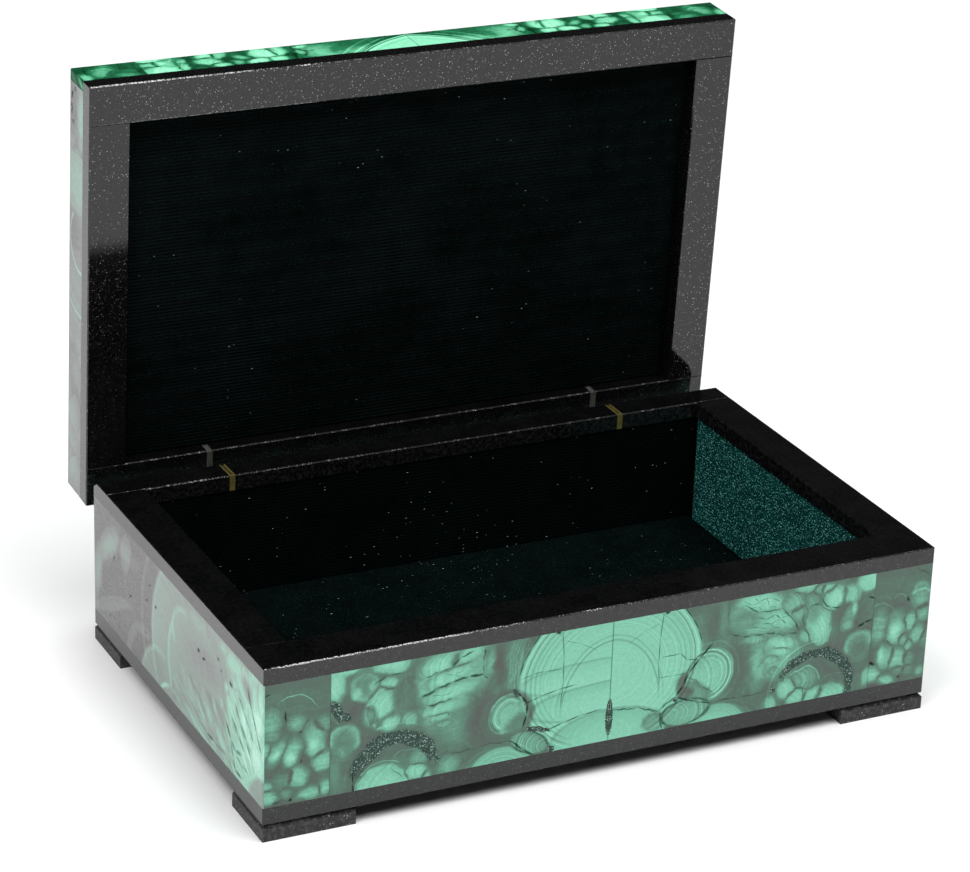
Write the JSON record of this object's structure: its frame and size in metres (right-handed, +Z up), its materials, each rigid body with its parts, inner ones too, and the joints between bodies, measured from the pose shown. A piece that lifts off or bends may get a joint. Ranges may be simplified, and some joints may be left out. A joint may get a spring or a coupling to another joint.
{
  "type": "malachite box",
  "caption": "Low stone box faced with banded malachite, with black stone borders, corner feet, a velvet-lined tray and a heavy slab lid on brass hinges.",
  "frame": {"origin": "under the middle of the open box, at the level of the soles of the feet", "axes": "+X along the length of the box to the right, +Y from the front to the hinges, +Z up"},
  "size_m": [0.19, 0.1422, 0.1585],
  "materials": {
    "malachite": "polished, banded green",
    "black_stone": "polished, fine pale speckle",
    "rough_stone": "sawn, matt",
    "core_stone": "sawn, matt",
    "velvet": "short pile velvet on board",
    "brass": "worn, unpolished",
    "pin_steel": "plain drawn"
  },
  "bodies": {
    "base": {"bottom_plate": "black_stone", "foot_front_left": "rough_stone", "foot_front_right": "rough_stone", "foot_back_left": "rough_stone", "foot_back_right": "rough_stone", "wall_core_front": "core_stone", "wall_core_back": "core_stone", "wall_core_left": "core_stone", "wall_core_right": "core_stone", "front_corner_left": "malachite", "front_panel_left": "malachite", "front_panel_right": "malachite", "front_corner_right": "malachite", "side_panel_left": "malachite", "side_panel_right": "malachite", "back_panel_left": "malachite", "back_panel_right": "malachite", "rim_front": "black_stone", "rim_left": "black_stone", "rim_right": "black_stone", "rim_back_left": "black_stone", "rim_back_middle": "black_stone", "rim_back_right": "black_stone", "floor_lining": "velvet", "wall_lining_front": "velvet", "wall_lining_back": "velvet", "wall_lining_left": "velvet", "wall_lining_right": "velvet", "hinge_fork_left": "brass", "hinge_fork_right": "brass", "hinge_pin_left": "pin_steel", "hinge_pin_right": "pin_steel"},
    "lid": {"lid_core": "core_stone", "lid_frame_front": "black_stone", "lid_frame_back": "black_stone", "lid_frame_left": "black_stone", "lid_frame_right": "black_stone", "lid_top_end_left": "malachite", "lid_top_left": "malachite", "lid_top_right": "malachite", "lid_top_end_right": "malachite", "lid_edge_corner_left": "malachite", "lid_edge_front_left": "malachite", "lid_edge_front_right": "malachite", "lid_edge_corner_right": "malachite", "lid_edge_left": "malachite", "lid_edge_right": "malachite", "lid_edge_back": "malachite", "lid_lining": "velvet", "hinge_tongue_left": "brass", "hinge_tongue_right": "brass"}
  },
  "joints": [
    {"name": "lid_hinge", "type": "hinge", "parent": "base", "child": "lid", "pos_m": [0, 0.04728, 0.0389], "axis": [1, 0, 0], "range_deg": [0, 86.6]}
  ]
}
